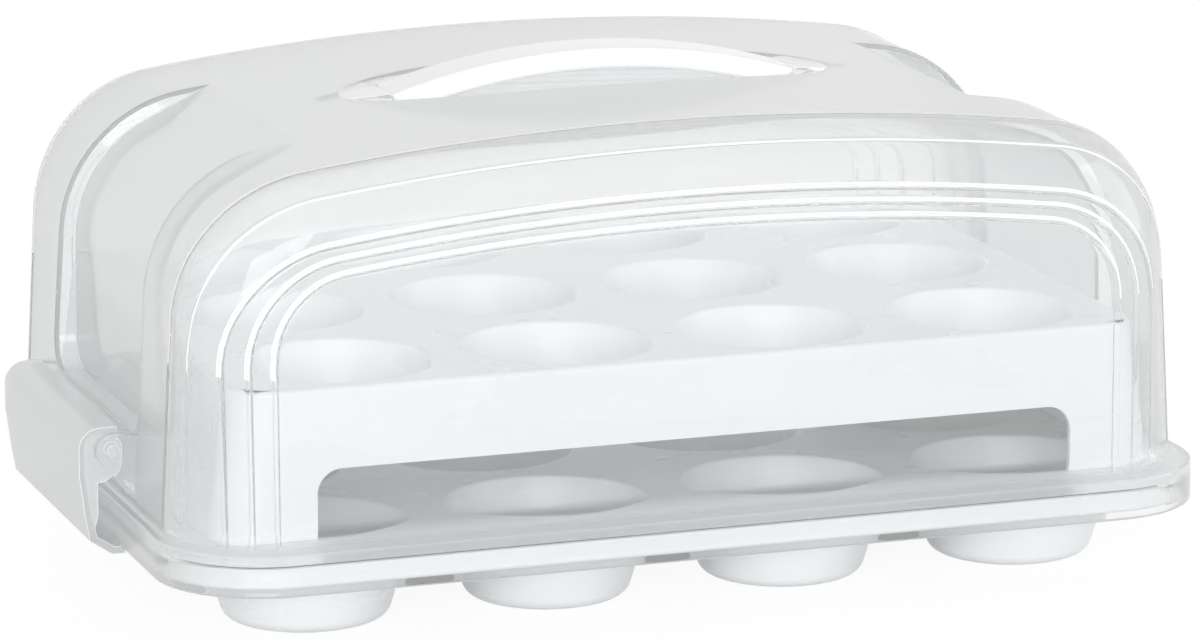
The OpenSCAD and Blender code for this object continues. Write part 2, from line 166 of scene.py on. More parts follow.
def moulding_group():
    """Faint flow marks and grain of moulded plastic: a roughness and a bump height."""
    tree = bpy.data.node_groups.new("moulded_surface", "ShaderNodeTree")
    face = tree.interface
    scale = face.new_socket("Grain scale", in_out="INPUT", socket_type="NodeSocketFloat")
    scale.default_value = 900.0
    rough = face.new_socket("Roughness", in_out="INPUT", socket_type="NodeSocketFloat")
    rough.default_value = 0.2
    spread = face.new_socket("Roughness spread", in_out="INPUT", socket_type="NodeSocketFloat")
    spread.default_value = 0.1
    face.new_socket("Roughness", in_out="OUTPUT", socket_type="NodeSocketFloat")
    face.new_socket("Height", in_out="OUTPUT", socket_type="NodeSocketFloat")
    face.new_socket("Cloud", in_out="OUTPUT", socket_type="NodeSocketFloat")
    nodes, links = tree.nodes, tree.links
    inp = nodes.new("NodeGroupInput")
    out = nodes.new("NodeGroupOutput")
    coord = nodes.new("ShaderNodeTexCoord")
    grain = nodes.new("ShaderNodeTexNoise")
    grain.inputs["Detail"].default_value = 3.0
    cloud = nodes.new("ShaderNodeTexNoise")
    cloud.inputs["Scale"].default_value = 14.0
    cloud.inputs["Detail"].default_value = 4.0
    stretch = nodes.new("ShaderNodeMapping")
    stretch.inputs["Scale"].default_value = (1.0, 1.6, 3.0)
    links.new(coord.outputs["Object"], grain.inputs["Vector"])
    links.new(coord.outputs["Object"], stretch.inputs["Vector"])
    links.new(stretch.outputs["Vector"], cloud.inputs["Vector"])
    links.new(inp.outputs["Grain scale"], grain.inputs["Scale"])
    centred = nodes.new("ShaderNodeMath")
    centred.operation = "SUBTRACT"
    centred.inputs[1].default_value = 0.5
    links.new(cloud.outputs["Fac"], centred.inputs[0])
    add = nodes.new("ShaderNodeMath")
    add.operation = "MULTIPLY_ADD"
    links.new(centred.outputs[0], add.inputs[0])
    links.new(inp.outputs["Roughness spread"], add.inputs[1])
    links.new(inp.outputs["Roughness"], add.inputs[2])
    links.new(add.outputs[0], out.inputs["Roughness"])
    links.new(grain.outputs["Fac"], out.inputs["Height"])
    links.new(cloud.outputs["Fac"], out.inputs["Cloud"])
    return tree


def plastic(name, color, shade, rough, spread, grain, bump, **sockets):
    """Moulded plastic whose colour drifts from color to shade with the group's cloud."""
    mat = bpy.data.materials.new(name)
    mat.use_nodes = True
    nodes, links = mat.node_tree.nodes, mat.node_tree.links
    bsdf = nodes["Principled BSDF"]
    surface = nodes.new("ShaderNodeGroup")
    surface.node_tree = MOULDING
    surface.inputs["Grain scale"].default_value = grain
    surface.inputs["Roughness"].default_value = rough
    surface.inputs["Roughness spread"].default_value = spread
    ramp = nodes.new("ShaderNodeValToRGB")
    ramp.color_ramp.elements[0].position = 0.35
    ramp.color_ramp.elements[1].position = 0.65
    ramp.color_ramp.elements[0].color = (*shade, 1.0)
    ramp.color_ramp.elements[1].color = (*color, 1.0)
    links.new(surface.outputs["Cloud"], ramp.inputs["Fac"])
    links.new(ramp.outputs["Color"], bsdf.inputs["Base Color"])
    links.new(surface.outputs["Roughness"], bsdf.inputs["Roughness"])
    height = nodes.new("ShaderNodeBump")
    height.inputs["Strength"].default_value = bump
    height.inputs["Distance"].default_value = 0.0002
    links.new(surface.outputs["Height"], height.inputs["Height"])
    links.new(height.outputs["Normal"], bsdf.inputs["Normal"])
    for socket, value in sockets.items():
        bsdf.inputs[socket.replace("_", " ")].default_value = value
    return mat


def clear_plastic(name, tint, rough, haze, edge_haze, haze_color):
    """Clear plastic that lets light in, with a white haze that thickens at a glancing angle."""
    mat = plastic(name, tint, tint, rough, 0.04, 300.0, 0.02, Transmission_Weight=1.0, IOR=1.46)
    nodes, links = mat.node_tree.nodes, mat.node_tree.links
    out = nodes["Material Output"]
    bsdf = nodes["Principled BSDF"]
    milk = nodes.new("ShaderNodeBsdfPrincipled")
    milk.name = "haze"
    milk.inputs["Base Color"].default_value = (*haze_color, 1.0)
    milk.inputs["Roughness"].default_value = 0.3
    facing = nodes.new("ShaderNodeLayerWeight")
    facing.inputs["Blend"].default_value = 0.35
    amount = nodes.new("ShaderNodeMath")
    amount.operation = "MULTIPLY_ADD"
    amount.inputs[1].default_value = edge_haze
    amount.inputs[2].default_value = haze
    amount.use_clamp = True
    links.new(facing.outputs["Facing"], amount.inputs[0])
    body = nodes.new("ShaderNodeMixShader")
    links.new(amount.outputs[0], body.inputs["Fac"])
    links.new(bsdf.outputs[0], body.inputs[1])
    links.new(milk.outputs[0], body.inputs[2])
    through = nodes.new("ShaderNodeBsdfTransparent")
    through.inputs["Color"].default_value = (0.96, 0.965, 0.97, 1.0)
    path = nodes.new("ShaderNodeLightPath")
    either = nodes.new("ShaderNodeMath")
    either.operation = "MAXIMUM"
    links.new(path.outputs["Is Shadow Ray"], either.inputs[0])
    links.new(path.outputs["Is Diffuse Ray"], either.inputs[1])
    mix = nodes.new("ShaderNodeMixShader")
    links.new(either.outputs[0], mix.inputs["Fac"])
    links.new(body.outputs[0], mix.inputs[1])
    links.new(through.outputs[0], mix.inputs[2])
    links.new(mix.outputs[0], out.inputs["Surface"])
    return mat


MOULDING = moulding_group()
DOME_TINT = (0.975, 0.98, 0.985)
tray_white = plastic(
    "tray_white", (0.87, 0.885, 0.895), (0.83, 0.855, 0.865), 0.28, 0.12, 700.0, 0.05, Specular_IOR_Level=0.5
)
handle_white = plastic(
    "handle_white", (0.88, 0.885, 0.89), (0.85, 0.86, 0.865), 0.22, 0.1, 700.0, 0.05, Specular_IOR_Level=0.5
)
dome_clear = clear_plastic("dome_clear", DOME_TINT, 0.04, 0.12, 0.62, (0.625, 0.63, 0.625))
# Painted highlight for the dome: a thick white haze on the steep flanks of the arches and the beads, in place
# of the light that those edges catch.
dome_painted_highlight = clear_plastic("dome_painted_highlight", DOME_TINT, 0.2, 0.84, 0.14, (0.95, 0.955, 0.955))
clip_clear = clear_plastic("clip_clear", (0.96, 0.97, 0.975), 0.18, 0.45, 0.35, (0.67, 0.68, 0.682))
# Painted highlight for the clips: a thick white haze on their rounded edges, in place of the light that those
# edges catch.
clip_painted_highlight = clear_plastic("clip_painted_highlight", (0.97, 0.975, 0.98), 0.2, 0.8, 0.15, (0.93, 0.935, 0.935))

FINISH = {
    "base_tray": tray_white,
    "upper_tray": tray_white,
    "dome_lid": dome_clear,
    "handle": handle_white,
    "clip_left": clip_clear,
    "clip_right": clip_clear,
}
for name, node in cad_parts.items():
    for slot in node.material_slots:
        slot.material = FINISH[name]

# Dome ----------------------------------------------------------------------
# Millimetres, as in the solids. Outward is away from the cavity.

FOOT_X, WEB_Z, TRAY_Z, CROWN_Z = 169.4, 33.7, 29.8, 154.3
CROWN_R, SHOULDER_R = 900.0, 48.0
EDGE_FOOT_R, EDGE_TOP_R = 27.0, 21.0  # rounding of the front and back edges, low down and over the crown
DRAFT = math.radians(3.4)
DOME_Y, DOME_WALL, STEP_T = 113.0, 1.8, 1.2
ARCHES = ((156.0, 135.0, 40.0), (148.5, 130.5, 34.0), (141.0, 126.0, 28.0))
SCOOP_HALF, SCOOP_HALF_TOP, SCOOP_D, SCOOP_CORNER = 55.0, 51.0, 5.5, 12.0
LEDGE_Z, SCOOP_TOP_Z, FACET = 56.0, 150.0, math.radians(26.0)
POCKET_Z, POCKET_LONG_R, POCKET_CROSS_R = 138.0, 293.0, 37.0
SKIRT_X, SKIRT_Y, SKIRT_R, SKIRT_Z, SKIRT_T = 173.6, 128.7, 36.0, 20.4, 2.0

CROWN_C = CROWN_Z - CROWN_R


def shoulder_centre():
    slope = math.tan(DRAFT)
    line = FOOT_X - SHOULDER_R / math.cos(DRAFT) + WEB_Z * slope
    gap = CROWN_R - SHOULDER_R
    b = line * slope + CROWN_C
    c = line * line + CROWN_C * CROWN_C - gap * gap
    k = 1 + slope * slope
    z = (b + math.sqrt(b * b - k * c)) / k
    return line - slope * z, z


SHOULDER_X, SHOULDER_Z = shoulder_centre()
CROWN_A = math.asin(SHOULDER_X / (CROWN_R - SHOULDER_R))


def smoothstep(a, b, x):
    t = np.clip((x - a) / (b - a), 0.0, 1.0)
    return t * t * (3 - 2 * t)


def soft_min(a, b, k):
    h = np.clip(0.5 + 0.5 * (a - b) / k, 0.0, 1.0)
    return a + (b - a) * h - k * h * (1 - h)


def wall_x(z, g):
    return FOOT_X - math.tan(DRAFT) * (z - WEB_Z) - g / math.cos(DRAFT)


def arch_gap(x, z, half, top, r):
    """Signed distance to an arch's outline, negative inside it."""
    x = abs(x)
    crown_c = top - CROWN_R
    cx = half - r
    a = math.asin(cx / (CROWN_R - r))
    cz = crown_c + (CROWN_R - r) * math.cos(a)
    if z < cz:
        return x - half
    if x * math.cos(a) > (z - crown_c) * math.sin(a):
        return math.hypot(x - cx, z - cz) - r
    return math.hypot(x, z - crown_c) - CROWN_R


def scoop_gap(x, z, g):
    """How far a point of the end stands outside the scoop's surface."""
    r = SHOULDER_R - SCOOP_D - g
    dx, dz = abs(x) - SHOULDER_X, z - SHOULDER_Z
    if dz < 0:
        return dx - r
    if dx * math.cos(FACET) > dz * math.sin(FACET):
        return math.hypot(dx, dz) - r
    return dx * math.sin(FACET) + dz * math.cos(FACET) - r


def march(x, z, dx, dz, gap):
    """Distance along (-dx, -dz) at which gap falls to nothing."""
    t = 0.0
    for _ in range(40):
        step = gap(x - dx * t, z - dz * t)
        if step <= 1e-5:
            break
        t += step
    return t


def pocket_height(x, y, g):
    ring = POCKET_LONG_R - POCKET_CROSS_R
    across = np.sqrt(np.maximum((POCKET_CROSS_R + g) ** 2 - y * y, 0.0)) + ring
    return POCKET_Z + POCKET_LONG_R - np.sqrt(np.maximum(across**2 - x * x, 0.0))


def crown_height(x, g):
    return CROWN_C + np.sqrt((CROWN_R - g) ** 2 - x * x)


EDGE_STEPS = (0.6, 0.42, 0.25, 0.11, 0.03, 0.012)
CORNER_STEPS = (1.3, 2.2, 3.2, 4.2, 5.2, 6.2, 7.2, 8.2, 9.2, 10.2, 11.2, 13.0)
RING_STEPS = (1.3, 1.15, 1.06, 1.03, 1.012, 1.0, 0.988, 0.97, 0.94, 0.85, 0.7, 0.5, 0.3, 0.1)
ARCH_CURVE = (
    (1.6, 1.0), (0.55, 1.0), (0.30, 0.965), (0.12, 0.87), (0.04, 0.70), (0.0, 0.5),
    (-0.04, 0.30), (-0.12, 0.13), (-0.30, 0.035), (-0.55, 0.0), (-1.6, 0.0),
)
RING_X, RING_Y = 68.0, 24.6
# Rows over the crown beyond the pocket, close together where the end scoops run out
CROWN_ROWS = (121.5, 119.0, 116.5, 115.0, 114.0, 113.5, 113.0, 112.5, 112.0, 111.0, 109.0, 105.0, 100.0, 95.0)
# Places round the front and back edges, from the face (1) to the top (0), and the height of the bead there
ROUND_PLACES = (
    (0.89, 0.0), (0.78, 0.0), (0.67, 0.0), (0.60, 0.0), (0.575, 0.0), (0.56, 0.35), (0.545, 0.0),
    (0.50, 0.0), (0.40, 0.0), (0.30, 0.0), (0.20, 0.0), (0.11, 0.0), (0.06, 0.0), (0.035, 0.4), (0.01, 0.0),
)
COVE = 5.5
PAINTED_HIGHLIGHT_FOOT = 90.0  # painted highlight: the arches' flanks and the beads are painted white above this height
STRAIGHT = 0.5  # upright strip at the foot of each skin, which keeps the flat walls above it flat


def dome_rows(g):
    """Where the right half's rows cross its outline, from the foot up to the middle of the crown."""
    rows = []
    low = (WEB_Z + COVE if g == 0 else TRAY_Z) + STRAIGHT
    ledge = LEDGE_Z - g
    for z in (low, low + 3.4, ledge - 8.5, ledge - 5.0, ledge - 2.5):
        rows.append(("wall", z))
    for b in (1.3, *EDGE_STEPS):
        rows.append(("wall", ledge - b))
    for b in (*reversed(EDGE_STEPS), *CORNER_STEPS):
        rows.append(("wall", ledge + b))
    top = SHOULDER_Z + SHOULDER_R * math.sin(DRAFT)
    for z in np.linspace(ledge + 17.0, top, 7):
        rows.append(("wall", z))
    bend = math.pi / 2 - FACET
    for a in np.linspace(DRAFT, bend, 28)[1:]:
        rows.append(("shoulder", a))
    for a in np.linspace(bend, math.pi / 2 - CROWN_A, 9)[1:]:
        rows.append(("shoulder", a))
    for x in CROWN_ROWS:
        rows.append(("crown", x))
    for m in RING_STEPS:
        rows.append(("crown", RING_X * m))
    return rows


def outline(kind, t, g):
    """A point of the dome's outline in X and Z, its outward normal, and the direction of its section."""
    if kind == "wall":
        top = SHOULDER_Z + SHOULDER_R * math.sin(DRAFT)
        lean = DRAFT * min(max((t - WEB_Z) / (top - WEB_Z), 0.0), 1.0)
        return (wall_x(t, g), t, math.cos(DRAFT), math.sin(DRAFT), math.cos(lean), math.sin(lean))
    if kind == "shoulder":
        c, s = math.cos(t), math.sin(t)
        r = SHOULDER_R - g
        return (SHOULDER_X + r * c, SHOULDER_Z + r * s, c, s, c, s)
    z = float(crown_height(t, g))
    nx, nz = t / (CROWN_R - g), (z - CROWN_C) / (CROWN_R - g)
    return (t, z, nx, nz, nx, nz)


def ring_reach(angle, g):
    """The point of the pocket's rim that lies in a direction from the middle."""
    reach_x, reach_y = 84.9, 30.7
    cx, cy = reach_x * math.cos(angle), reach_y * math.sin(angle)
    low, high = 0.3, 1.6
    for _ in range(40):
        mid = (low + high) / 2
        if pocket_height(cx * mid, cy * mid, g) < crown_height(cx * mid, g):
            low = mid
        else:
            high = mid
    return cx * low, cy * low


def edge_radius(kind, t):
    """Rounding of the front and back edges at a row."""
    if kind == "wall":
        return EDGE_FOOT_R
    if kind == "shoulder":
        turn = float(smoothstep(DRAFT, math.pi / 2 - CROWN_A, t))
        return EDGE_FOOT_R - (EDGE_FOOT_R - EDGE_TOP_R) * turn
    return EDGE_TOP_R


def scoop_half(kind, t):
    """Half width of the scoop at a row."""
    z = t if kind == "wall" else outline(kind, t, 0.0)[1]
    share = min(max((z - LEDGE_Z) / (SCOOP_TOP_Z - LEDGE_Z), 0.0), 1.0)
    return SCOOP_HALF + (SCOOP_HALF_TOP - SCOOP_HALF) * share


def top_columns(y_edge, half, g):
    """Places across the top or the end wall, from the front edge to the middle."""
    cols = [y_edge - f * (y_edge - half - g - 5.0) for f in (0.0, 0.25, 0.5, 0.75, 1.0)]
    cols += [half + g + q for q in (2.5, 1.3, *EDGE_STEPS)]
    cols += [half + g - q for q in (*reversed(EDGE_STEPS), *CORNER_STEPS)]
    cols += [35.0 + g * 0.5]
    cols += [RING_Y * m for m in RING_STEPS]
    return cols


def dome_skin(g):
    """Grid of points of the dome's skin, set in by g: a row for each crossing, columns from front to back."""
    grid = []
    rho_full = 0.6 if g == 0 else 0.3
    ledge = LEDGE_Z - g
    corner = SCOOP_CORNER + g
    for kind, t in dome_rows(g):
        x0, z0, nx, nz, dx, dz = outline(kind, t, g)
        r = edge_radius(kind, t) - g
        y_face = DOME_Y - g
        half = scoop_half(kind, t)
        front = []
        gaps = []
        for arch_x, arch_z, arch_r in ARCHES:
            arch = (arch_x - g, arch_z - g, arch_r - g)
            gaps.append(march(x0, z0, dx, dz, lambda x, z: arch_gap(x, z, *arch)))

        def rounded_y(e):
            return y_face - r + math.sqrt(max(r * r - max(r - e, 0.0) ** 2, 0.0))

        e = gaps[2] + 5.0
        front.append((x0 - dx * e, rounded_y(e) + 3 * STEP_T, z0 - dz * e))
        for k in (2, 1, 0):
            for de, h in ARCH_CURVE:
                e = gaps[k] + de
                front.append((x0 - dx * e, rounded_y(e) + (k + h) * STEP_T, z0 - dz * e))
        last = max(gaps[0] - 1.6, 0.0)
        theta0 = math.acos(max(min((r - last) / r, 1.0), -1.0))
        for share, bead in ROUND_PLACES:
            a = theta0 * share
            out = r + (bead if g == 0 else 0.0)
            e = r - out * math.cos(a)
            front.append((x0 - dx * e, y_face - r + out * math.sin(a), z0 - dz * e))
        top = []
        for y in top_columns(y_face - r, half, g):
            px, pz, px0, pz0 = x0, z0, x0, z0
            a, b = y - half - g, -60.0
            if kind == "wall":
                b = ledge - t
                va, vb = a + corner, b + corner
                if va > 0 and vb > 0:
                    level = max(va, vb) - corner
                    fade = 1.0 - float(smoothstep(1.5, 9.0, level))
                    k = 1 + (max(va, vb) / math.hypot(va, vb) - 1) * fade
                    a, b = va * k - corner, vb * k - corner
                    z_new = ledge - b
                    px0, pz0 = wall_x(z_new, g), z_new
                    y = half + g + a
            va, vb = a + corner, b + corner
            q = math.hypot(max(va, 0.0), max(vb, 0.0)) + min(max(va, vb), 0.0) - corner
            depth = max(march(px0, pz0, nx, nz, lambda x, z: scoop_gap(x, z, g)), 0.0)
            rho = min(rho_full, depth / 2)
            if q >= rho:
                d = 0.0
            elif q > 0:
                d = rho - math.sqrt(rho * rho - (rho - q) ** 2)
            elif q > -rho:
                d = depth - (rho - math.sqrt(rho * rho - (rho + q) ** 2))
            else:
                d = depth
            px, pz = px0 - nx * d, pz0 - nz * d
            if kind == "crown":
                m = max(abs(t) / RING_X, abs(y) / RING_Y)
                if m < 1.6:
                    rx, ry = ring_reach(math.atan2(y / RING_Y, t / RING_X), g)
                    w = 1.0 - float(smoothstep(1.0, 1.6, m))
                    qx, qy = px + w * (rx * m - px), y + w * (ry * m - y)
                    zc = float(crown_height(qx, g))
                    zp = float(pocket_height(qx, qy, g))
                    px, y, pz = qx, qy, float(soft_min(zc, zp, 0.7)) - (z0 - pz0)
            top.append((px, y, pz))
        line = [(x, -y, z) for x, y, z in front + top]
        line += [(x, y, z) for x, y, z in reversed(front + top)]
        grid.append(line)
    right = np.array(grid)
    left = right[::-1].copy()
    left[:, :, 0] *= -1
    return np.concatenate((right, left))


def ridge_columns(count):
    """Columns whose faces are the steep flanks of the arches and the beads, on both halves of a skin, which
    take the painted highlight.
    """
    steep = [1 + len(ARCH_CURVE) * k + c for k in range(len(ARCHES)) for c in range(1, 9)]
    first = 1 + len(ARCH_CURVE) * len(ARCHES)
    beads = [first + i for i, (_, bead) in enumerate(ROUND_PLACES) if bead]
    near = steep + [b - 1 for b in beads] + beads
    return set(near) | {count - 2 - j for j in near}


def skirt_point(x, y):
    """The skirt's outline beside a point of the dome's foot, and its outward direction there."""
    cx, cy = SKIRT_X - SKIRT_R, SKIRT_Y - SKIRT_R
    if abs(x) <= cx:
        return (x, math.copysign(SKIRT_Y, y)), (0.0, math.copysign(1.0, y))
    if abs(y) <= cy:
        return (math.copysign(SKIRT_X, x), y), (math.copysign(1.0, x), 0.0)
    vx, vy = abs(x) - cx, abs(y) - cy
    length = math.hypot(vx, vy)
    ux, uy = math.copysign(vx / length, x), math.copysign(vy / length, y)
    return (math.copysign(cx, x) + SKIRT_R * ux, math.copysign(cy, y) + SKIRT_R * uy), (ux, uy)


def dome_mesh():
    """The dome's shell: points, faces, and which of the faces take the painted highlight."""
    outer, inner = dome_skin(0.0), dome_skin(DOME_WALL)
    verts, faces, painted_highlight_faces = [], [], []

    def add(points):
        start = len(verts)
        verts.extend(tuple(p) for p in points)
        return list(range(start, len(verts)))

    def skin(grid, flip):
        n, m = grid.shape[:2]
        ids = np.array(add(grid.reshape(-1, 3))).reshape(n, m)
        steep = ridge_columns(m)
        for i in range(n - 1):
            for j in range(m - 1):
                f = (ids[i, j], ids[i + 1, j], ids[i + 1, j + 1], ids[i, j + 1])
                # the steep flanks high on the outer skin are marked for the painted highlight
                if j in steep and not flip and grid[i, j, 2] > PAINTED_HIGHLIGHT_FOOT:
                    painted_highlight_faces.append(len(faces))
                faces.append(f[::-1] if flip else f)
        low = grid[0, 0, 2]
        runs = []
        for side, col in ((-1, 0), (1, m - 1)):
            x_end = grid[0, col, 0]
            y = grid[0, col, 1]
            xs = np.linspace(x_end, -x_end, 14)[1:-1]
            run = add([(x, y, low) for x in xs])
            panel = list(ids[:, col]) + run[::-1]
            if (side < 0) != flip:
                panel = panel[::-1]
            faces.append(tuple(int(v) for v in panel))
            runs.append(run)
        loop = list(ids[0, :]) + runs[1] + list(ids[n - 1, ::-1]) + runs[0][::-1]
        return [int(v) for v in loop]

    outer_loop, inner_loop = skin(outer, False), skin(inner, True)
    count = len(outer_loop)
    foot = [verts[v] for v in outer_loop]
    aim = [skirt_point(x, y) for x, y, _ in foot]
    loops = [outer_loop]

    def ring(place):
        loops.append(add([place(k) for k in range(count)]))

    def cove_radius(k):
        (tx, ty), _ = aim[k]
        return min(COVE, 0.75 * (math.hypot(tx - foot[k][0], ty - foot[k][1]) - 1.2))

    for i in range(6):
        a = math.pi / 2 * i / 5

        def cove(k, a=a):
            (tx, ty), _ = aim[k]
            x, y, _ = foot[k]
            far = max(math.hypot(tx - x, ty - y), 1e-6)
            ux, uy = (tx - x) / far, (ty - y) / far
            rho = cove_radius(k)
            out = rho * (1 - math.cos(a))
            return (x + ux * out, y + uy * out, WEB_Z + rho * (1 - math.sin(a)))

        ring(cove)

    def rim(inset, z):
        def place(k):
            (tx, ty), (ux, uy) = aim[k]
            return (tx - ux * inset, ty - uy * inset, z)

        ring(place)

    for a in (0, 30, 60, 90):
        s, c = math.sin(math.radians(a)), math.cos(math.radians(a))
        rim(0.9 * (1 - s), WEB_Z - 0.9 * (1 - c))
    rim(0.0, WEB_Z - 2.4)
    rim(0.0, SKIRT_Z + 2.0)
    for a in (0, 45, 90):
        s, c = math.sin(math.radians(a)), math.cos(math.radians(a))
        rim(0.7 * (1 - c), SKIRT_Z + 0.7 * (1 - s))
    for a in (90, 45, 0):
        s, c = math.sin(math.radians(a)), math.cos(math.radians(a))
        rim(SKIRT_T - 0.7 * (1 - c), SKIRT_Z + 0.7 * (1 - s))
    rim(SKIRT_T, TRAY_Z)
    loops.append(add([(verts[v][0], verts[v][1], TRAY_Z) for v in inner_loop]))
    loops.append(inner_loop)
    for low, high in zip(loops, loops[1:]):
        for k in range(count):
            n = (k + 1) % count
            faces.append((low[k], low[n], high[n], high[k]))
    return np.array(verts), [face[::-1] for face in faces], painted_highlight_faces


def new_piece(name, verts, faces, material, body, second=None, marked=()):
    """A piece from points and faces in millimetres, the marked faces in the second material."""
    mesh = bpy.data.meshes.new(name)
    mesh.from_pydata([tuple(float(c) * MM for c in v) for v in verts], [], faces)
    mesh.materials.append(material)
    if second:
        mesh.materials.append(second)
        for i in marked:
            mesh.polygons[i].material_index = 1
    mesh.validate()
    mesh.shade_smooth()
    piece = bpy.data.objects.new(name, mesh)
    bpy.context.scene.collection.objects.link(piece)
    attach(piece, body)
    return piece


def prism(outline_xz, y0, y1, bevel, segments=3):
    """A plate drawn in X and Z between two places along Y, its edges rounded, as points and faces."""
    bm = bmesh.new()
    ring = [bm.verts.new((x, y0, z)) for x, z in outline_xz]
    face = bm.faces.new(ring)
    made = bmesh.ops.extrude_face_region(bm, geom=[face])
    bmesh.ops.translate(
        bm, verts=[v for v in made["geom"] if isinstance(v, bmesh.types.BMVert)], vec=(0, y1 - y0, 0)
    )
    bmesh.ops.recalc_face_normals(bm, faces=bm.faces)
    if bevel:
        sharp = [e for e in bm.edges if e.calc_face_angle(0.0) > math.radians(25)]
        bmesh.ops.bevel(
            bm, geom=sharp, offset=bevel, segments=segments, profile=0.5, affect="EDGES", clamp_overlap=True
        )
    bm.verts.index_update()
    verts = [tuple(v.co) for v in bm.verts]
    faces = [tuple(v.index for v in f.verts) for f in bm.faces]
    bm.free()
    return verts, faces


def arc(x, z, r, a0, a1, n):
    """Points of an arc in a profile, from angle a0 to a1 in degrees."""
    angles = [math.radians(a0 + (a1 - a0) * i / n) for i in range(n + 1)]
    return [(x + r * math.cos(a), z + r * math.sin(a)) for a in angles]


def joined(parts):
    """Several pieces' points and faces as one."""
    verts, faces = [], []
    for v, f in parts:
        start = len(verts)
        verts += [tuple(p) for p in v]
        faces += [tuple(i + start for i in face) for face in f]
    return verts, faces


def flipped_x(part):
    """A piece's points and faces mirrored from one end to the other."""
    v, f = part
    return [(-x, y, z) for x, y, z in v], [tuple(reversed(face)) for face in f]


def softened(node, width, segments=2, edge_slot=-1):
    """Mesh of a node's solid with its sharp edges rounded, the rounded edges in the material slot given."""
    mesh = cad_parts[node].data.copy()
    bm = bmesh.new()
    bm.from_mesh(mesh)
    bmesh.ops.remove_doubles(bm, verts=bm.verts, dist=1e-6)
    bmesh.ops.dissolve_limit(bm, angle_limit=math.radians(0.5), verts=bm.verts, edges=bm.edges)
    bm.to_mesh(mesh)
    bm.free()
    mesh.materials.append(None)
    return finished(mesh, width, segments, edge_slot)


def finished(mesh, width, segments=2, edge_slot=-1):
    """A mesh whose sharp edges are rounded and whose flat faces stay flat."""
    work = bpy.data.objects.new("work", mesh)
    bpy.context.scene.collection.objects.link(work)
    bevel = work.modifiers.new("bevel", "BEVEL")
    bevel.limit_method = "ANGLE"
    bevel.angle_limit = math.radians(32)
    bevel.width = width * MM
    bevel.segments = segments
    bevel.material = edge_slot
    mesh.shade_smooth()
    normals = work.modifiers.new("normals", "WEIGHTED_NORMAL")
    normals.weight = 50
    graph = bpy.context.evaluated_depsgraph_get()
    done = bpy.data.meshes.new_from_object(work.evaluated_get(graph))
    bpy.data.objects.remove(work)
    return done


def piece_of(name, mesh, materials, body):
    """A piece from a finished mesh, riding on a body."""
    indices = [face.material_index for face in mesh.polygons]
    mesh.materials.clear()
    for material in materials:
        mesh.materials.append(material)
    mesh.polygons.foreach_set("material_index", [min(i, len(materials) - 1) for i in indices])
    piece = bpy.data.objects.new(name, mesh)
    bpy.context.scene.collection.objects.link(piece)
    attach(piece, body)
    return piece


# Handle lugs: wedges between the handle's slanted ends and the crown

HANDLE_END_X, HANDLE_END_Z, HANDLE_SLANT = 69.4, 151.48, math.radians(38.0)
LUG_TOP_Z, LUG_TIP_X, LUG_TIP_Z = 151.98, 91.4, 148.9


def handle_lug():
    """One wedge: sections along X, each with rounded shoulders, its foot inside the dome's wall."""
    stations = (63.6, 65.0, 66.5, 68.0, 69.0, 69.75, 70.6, 73.4, 77.0, 81.0, 85.0, 88.5, LUG_TIP_X)
    rings = []
    for x in stations:
        slant_z = HANDLE_END_Z + (x - HANDLE_END_X) / math.tan(HANDLE_SLANT)
        ramp = (x - 73.4) / (LUG_TIP_X - 73.4)
        ramp_z = LUG_TOP_Z + max(ramp, 0.0) * (LUG_TIP_Z - LUG_TOP_Z)
        top = min(slant_z, ramp_z)
        floor = min(float(pocket_height(x, 0.0, 0.0)), float(crown_height(x, 0.0))) - 0.9
        half = 11.2 - max(ramp, 0.0) * 7.4
        edge = min(0.9, max(top - floor, 0.1) * 0.4)
        line = [(half, floor), (half, top - edge), (half - edge * 0.3, top - edge * 0.3), (half - edge, top)]
        rings.append([(x, y, z) for y, z in line] + [(x, -y, z) for y, z in reversed(line)])
    verts = [p for ring in rings for p in ring]
    n = len(rings[0])
    faces = [tuple(range(n)), tuple(reversed(range(len(verts) - n, len(verts))))]
    for i in range(len(rings) - 1):
        for k in range(n):
            m = (k + 1) % n
            faces.append((i * n + k, (i + 1) * n + k, (i + 1) * n + m, i * n + m))
    return verts, faces


# Hinge lugs: D-shaped plates beside each clip

PIVOT_X, PIVOT_Z = 176.0, 52.5
LUG_Y, LUG_T, LUG_R = 50.0, 5.5, 5.6


def hinge_lug(side):
    """One plate on the right end, its root inside the dome's wall."""
    root_x = 167.2
    round_end = arc(PIVOT_X, PIVOT_Z, LUG_R, -25, 90, 28)[:-1]
    outline_points = [(root_x, WEB_Z + 3.0), (FOOT_X + 0.9, WEB_Z + 3.0), *round_end,
                      (PIVOT_X, PIVOT_Z + LUG_R), (root_x, PIVOT_Z + LUG_R - 1.0)]
    y0 = LUG_Y if side > 0 else -LUG_Y - LUG_T
    return prism(outline_points, y0, y0 + LUG_T, 0.6)


# Trays ----------------------------------------------------------------------
# Millimetres. A tray is two skins, top and underside, joined round its rim.

COLS, ROWS, ROW_PITCH = 4, 3, 75.5
CELL_STEPS = 18  # points along one side of a cup's cell
CUP_FILLET = 5.0


